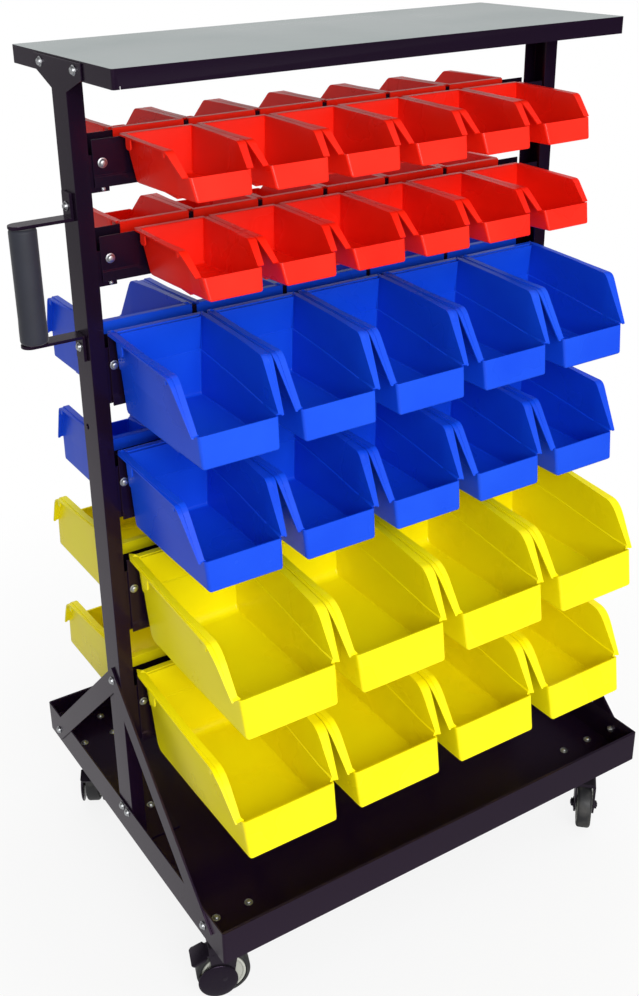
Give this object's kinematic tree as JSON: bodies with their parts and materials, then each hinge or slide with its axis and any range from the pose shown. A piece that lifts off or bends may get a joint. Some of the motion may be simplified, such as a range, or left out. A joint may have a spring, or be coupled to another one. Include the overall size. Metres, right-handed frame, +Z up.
{
  "type": "mobile bin cart",
  "caption": "Wheeled steel cart with a top shelf, a low tray and tiers of open-fronted plastic bins that hang on cross rails on both sides, pushed by an upright side handle.",
  "frame": {"origin": "on the floor, under the middle of the cart with its handle, between the wheels", "axes": "+Z up, +X along the cart away from the push handle, -Y towards the side whose bins are single pieces"},
  "size_m": [0.8396, 0.6066, 1.245],
  "materials": {
    "black_paint": "gloss",
    "foam_grip": "matt foam",
    "black_steel": "satin",
    "grey_wheel": "satin side covers, dark tread",
    "red_plastic": "semi-gloss moulded",
    "blue_plastic": "semi-gloss moulded",
    "yellow_plastic": "semi-gloss moulded"
  },
  "bodies": {
    "frame": {"top_shelf": "black_paint", "base_tray": "black_paint", "left_post": "black_paint", "right_post": "black_paint", "left_braces": "black_paint", "right_braces": "black_paint", "handle_bracket": "black_paint", "handle_grip": "foam_grip", "red_upper_rail": "black_paint", "red_lower_rail": "black_paint", "blue_upper_rail": "black_paint", "blue_lower_rail": "black_paint", "yellow_upper_rail": "black_paint", "yellow_lower_rail": "black_paint"},
    "red_upper_bin_1": {"red_upper_bin_1": "red_plastic"},
    "red_upper_bin_2": {"red_upper_bin_2": "red_plastic"},
    "red_upper_bin_3": {"red_upper_bin_3": "red_plastic"},
    "red_upper_bin_4": {"red_upper_bin_4": "red_plastic"},
    "red_upper_bin_5": {"red_upper_bin_5": "red_plastic"},
    "red_upper_bin_6": {"red_upper_bin_6": "red_plastic"},
    "red_upper_rear_bins": {"red_upper_rear_bins": "red_plastic"},
    "red_lower_bin_1": {"red_lower_bin_1": "red_plastic"},
    "red_lower_bin_2": {"red_lower_bin_2": "red_plastic"},
    "red_lower_bin_3": {"red_lower_bin_3": "red_plastic"},
    "red_lower_bin_4": {"red_lower_bin_4": "red_plastic"},
    "red_lower_bin_5": {"red_lower_bin_5": "red_plastic"},
    "red_lower_bin_6": {"red_lower_bin_6": "red_plastic"},
    "red_lower_rear_bins": {"red_lower_rear_bins": "red_plastic"},
    "blue_upper_bin_1": {"blue_upper_bin_1": "blue_plastic"},
    "blue_upper_bin_2": {"blue_upper_bin_2": "blue_plastic"},
    "blue_upper_bin_3": {"blue_upper_bin_3": "blue_plastic"},
    "blue_upper_bin_4": {"blue_upper_bin_4": "blue_plastic"},
    "blue_upper_bin_5": {"blue_upper_bin_5": "blue_plastic"},
    "blue_upper_rear_bins": {"blue_upper_rear_bins": "blue_plastic"},
    "blue_lower_bin_1": {"blue_lower_bin_1": "blue_plastic"},
    "blue_lower_bin_2": {"blue_lower_bin_2": "blue_plastic"},
    "blue_lower_bin_3": {"blue_lower_bin_3": "blue_plastic"},
    "blue_lower_bin_4": {"blue_lower_bin_4": "blue_plastic"},
    "blue_lower_bin_5": {"blue_lower_bin_5": "blue_plastic"},
    "blue_lower_rear_bins": {"blue_lower_rear_bins": "blue_plastic"},
    "yellow_upper_bin_1": {"yellow_upper_bin_1": "yellow_plastic"},
    "yellow_upper_bin_2": {"yellow_upper_bin_2": "yellow_plastic"},
    "yellow_upper_bin_3": {"yellow_upper_bin_3": "yellow_plastic"},
    "yellow_upper_bin_4": {"yellow_upper_bin_4": "yellow_plastic"},
    "yellow_upper_rear_bins": {"yellow_upper_rear_bins": "yellow_plastic"},
    "yellow_lower_bin_1": {"yellow_lower_bin_1": "yellow_plastic"},
    "yellow_lower_bin_2": {"yellow_lower_bin_2": "yellow_plastic"},
    "yellow_lower_bin_3": {"yellow_lower_bin_3": "yellow_plastic"},
    "yellow_lower_bin_4": {"yellow_lower_bin_4": "yellow_plastic"},
    "yellow_lower_rear_bins": {"yellow_lower_rear_bins": "yellow_plastic"},
    "front_left_caster_fork": {"front_left_caster_fork": "black_steel"},
    "front_left_wheel": {"front_left_wheel": "grey_wheel"},
    "front_left_brake_pedal": {"front_left_brake_pedal": "black_steel"},
    "rear_left_caster_fork": {"rear_left_caster_fork": "black_steel"},
    "rear_left_wheel": {"rear_left_wheel": "grey_wheel"},
    "rear_left_brake_pedal": {"rear_left_brake_pedal": "black_steel"},
    "front_right_caster_fork": {"front_right_caster_fork": "black_steel"},
    "front_right_wheel": {"front_right_wheel": "grey_wheel"},
    "rear_right_caster_fork": {"rear_right_caster_fork": "black_steel"},
    "rear_right_wheel": {"rear_right_wheel": "grey_wheel"}
  },
  "joints": [
    {"name": "red_upper_bin_1_lift", "type": "slide", "parent": "frame", "child": "red_upper_bin_1", "axis": [0, 0, 1], "range_m": [0, 0.02]},
    {"name": "red_upper_bin_2_lift", "type": "slide", "parent": "frame", "child": "red_upper_bin_2", "axis": [0, 0, 1], "range_m": [0, 0.02]},
    {"name": "red_upper_bin_3_lift", "type": "slide", "parent": "frame", "child": "red_upper_bin_3", "axis": [0, 0, 1], "range_m": [0, 0.02]},
    {"name": "red_upper_bin_4_lift", "type": "slide", "parent": "frame", "child": "red_upper_bin_4", "axis": [0, 0, 1], "range_m": [0, 0.02]},
    {"name": "red_upper_bin_5_lift", "type": "slide", "parent": "frame", "child": "red_upper_bin_5", "axis": [0, 0, 1], "range_m": [0, 0.02]},
    {"name": "red_upper_bin_6_lift", "type": "slide", "parent": "frame", "child": "red_upper_bin_6", "axis": [0, 0, 1], "range_m": [0, 0.02]},
    {"name": "red_upper_rear_bins_lift", "type": "slide", "parent": "frame", "child": "red_upper_rear_bins", "axis": [0, 0, 1], "range_m": [0, 0.02]},
    {"name": "red_lower_bin_1_lift", "type": "slide", "parent": "frame", "child": "red_lower_bin_1", "axis": [0, 0, 1], "range_m": [0, 0.02]},
    {"name": "red_lower_bin_2_lift", "type": "slide", "parent": "frame", "child": "red_lower_bin_2", "axis": [0, 0, 1], "range_m": [0, 0.02]},
    {"name": "red_lower_bin_3_lift", "type": "slide", "parent": "frame", "child": "red_lower_bin_3", "axis": [0, 0, 1], "range_m": [0, 0.02]},
    {"name": "red_lower_bin_4_lift", "type": "slide", "parent": "frame", "child": "red_lower_bin_4", "axis": [0, 0, 1], "range_m": [0, 0.02]},
    {"name": "red_lower_bin_5_lift", "type": "slide", "parent": "frame", "child": "red_lower_bin_5", "axis": [0, 0, 1], "range_m": [0, 0.02]},
    {"name": "red_lower_bin_6_lift", "type": "slide", "parent": "frame", "child": "red_lower_bin_6", "axis": [0, 0, 1], "range_m": [0, 0.02]},
    {"name": "red_lower_rear_bins_lift", "type": "slide", "parent": "frame", "child": "red_lower_rear_bins", "axis": [0, 0, 1], "range_m": [0, 0.02]},
    {"name": "blue_upper_bin_1_lift", "type": "slide", "parent": "frame", "child": "blue_upper_bin_1", "axis": [0, 0, 1], "range_m": [0, 0.02]},
    {"name": "blue_upper_bin_2_lift", "type": "slide", "parent": "frame", "child": "blue_upper_bin_2", "axis": [0, 0, 1], "range_m": [0, 0.02]},
    {"name": "blue_upper_bin_3_lift", "type": "slide", "parent": "frame", "child": "blue_upper_bin_3", "axis": [0, 0, 1], "range_m": [0, 0.02]},
    {"name": "blue_upper_bin_4_lift", "type": "slide", "parent": "frame", "child": "blue_upper_bin_4", "axis": [0, 0, 1], "range_m": [0, 0.02]},
    {"name": "blue_upper_bin_5_lift", "type": "slide", "parent": "frame", "child": "blue_upper_bin_5", "axis": [0, 0, 1], "range_m": [0, 0.02]},
    {"name": "blue_upper_rear_bins_lift", "type": "slide", "parent": "frame", "child": "blue_upper_rear_bins", "axis": [0, 0, 1], "range_m": [0, 0.02]},
    {"name": "blue_lower_bin_1_lift", "type": "slide", "parent": "frame", "child": "blue_lower_bin_1", "axis": [0, 0, 1], "range_m": [0, 0.02]},
    {"name": "blue_lower_bin_2_lift", "type": "slide", "parent": "frame", "child": "blue_lower_bin_2", "axis": [0, 0, 1], "range_m": [0, 0.02]},
    {"name": "blue_lower_bin_3_lift", "type": "slide", "parent": "frame", "child": "blue_lower_bin_3", "axis": [0, 0, 1], "range_m": [0, 0.02]},
    {"name": "blue_lower_bin_4_lift", "type": "slide", "parent": "frame", "child": "blue_lower_bin_4", "axis": [0, 0, 1], "range_m": [0, 0.02]},
    {"name": "blue_lower_bin_5_lift", "type": "slide", "parent": "frame", "child": "blue_lower_bin_5", "axis": [0, 0, 1], "range_m": [0, 0.02]},
    {"name": "blue_lower_rear_bins_lift", "type": "slide", "parent": "frame", "child": "blue_lower_rear_bins", "axis": [0, 0, 1], "range_m": [0, 0.02]},
    {"name": "yellow_upper_bin_1_lift", "type": "slide", "parent": "frame", "child": "yellow_upper_bin_1", "axis": [0, 0, 1], "range_m": [0, 0.02]},
    {"name": "yellow_upper_bin_2_lift", "type": "slide", "parent": "frame", "child": "yellow_upper_bin_2", "axis": [0, 0, 1], "range_m": [0, 0.02]},
    {"name": "yellow_upper_bin_3_lift", "type": "slide", "parent": "frame", "child": "yellow_upper_bin_3", "axis": [0, 0, 1], "range_m": [0, 0.02]},
    {"name": "yellow_upper_bin_4_lift", "type": "slide", "parent": "frame", "child": "yellow_upper_bin_4", "axis": [0, 0, 1], "range_m": [0, 0.02]},
    {"name": "yellow_upper_rear_bins_lift", "type": "slide", "parent": "frame", "child": "yellow_upper_rear_bins", "axis": [0, 0, 1], "range_m": [0, 0.02]},
    {"name": "yellow_lower_bin_1_lift", "type": "slide", "parent": "frame", "child": "yellow_lower_bin_1", "axis": [0, 0, 1], "range_m": [0, 0.02]},
    {"name": "yellow_lower_bin_2_lift", "type": "slide", "parent": "frame", "child": "yellow_lower_bin_2", "axis": [0, 0, 1], "range_m": [0, 0.02]},
    {"name": "yellow_lower_bin_3_lift", "type": "slide", "parent": "frame", "child": "yellow_lower_bin_3", "axis": [0, 0, 1], "range_m": [0, 0.02]},
    {"name": "yellow_lower_bin_4_lift", "type": "slide", "parent": "frame", "child": "yellow_lower_bin_4", "axis": [0, 0, 1], "range_m": [0, 0.02]},
    {"name": "yellow_lower_rear_bins_lift", "type": "slide", "parent": "frame", "child": "yellow_lower_rear_bins", "axis": [0, 0, 1], "range_m": [0, 0.02]},
    {"name": "front_left_swivel", "type": "hinge", "parent": "frame", "child": "front_left_caster_fork", "pos_m": [-0.28765, -0.252, 0.109], "axis": [0, 0, 1], "continuous": true},
    {"name": "front_left_wheel_spin", "type": "hinge", "parent": "front_left_caster_fork", "child": "front_left_wheel", "pos_m": [-0.31584, -0.24174, 0.038], "axis": [-0.342, -0.9397, 0], "continuous": true},
    {"name": "front_left_brake_pedal_press", "type": "hinge", "parent": "front_left_caster_fork", "child": "front_left_brake_pedal", "pos_m": [-0.329, -0.23695, 0.078], "axis": [-0.342, -0.9397, 0], "range_deg": [0, 10]},
    {"name": "rear_left_swivel", "type": "hinge", "parent": "frame", "child": "rear_left_caster_fork", "pos_m": [-0.28765, 0.252, 0.109], "axis": [0, 0, 1], "continuous": true},
    {"name": "rear_left_wheel_spin", "type": "hinge", "parent": "rear_left_caster_fork", "child": "rear_left_wheel", "pos_m": [-0.30265, 0.22602, 0.038], "axis": [0.866, -0.5, 0], "continuous": true},
    {"name": "rear_left_brake_pedal_press", "type": "hinge", "parent": "rear_left_caster_fork", "child": "rear_left_brake_pedal", "pos_m": [-0.30965, 0.21389, 0.078], "axis": [0.866, -0.5, 0], "range_deg": [0, 10]},
    {"name": "front_right_swivel", "type": "hinge", "parent": "frame", "child": "front_right_caster_fork", "pos_m": [0.36155, -0.252, 0.109], "axis": [0, 0, 1], "continuous": true},
    {"name": "front_right_wheel_spin", "type": "hinge", "parent": "front_right_caster_fork", "child": "front_right_wheel", "pos_m": [0.34071, -0.27358, 0.038], "axis": [0.7193, -0.6947, 0], "continuous": true},
    {"name": "rear_right_swivel", "type": "hinge", "parent": "frame", "child": "rear_right_caster_fork", "pos_m": [0.36155, 0.252, 0.109], "axis": [0, 0, 1], "continuous": true},
    {"name": "rear_right_wheel_spin", "type": "hinge", "parent": "rear_right_caster_fork", "child": "rear_right_wheel", "pos_m": [0.33336, 0.24174, 0.038], "axis": [0.342, -0.9397, 0], "continuous": true}
  ]
}
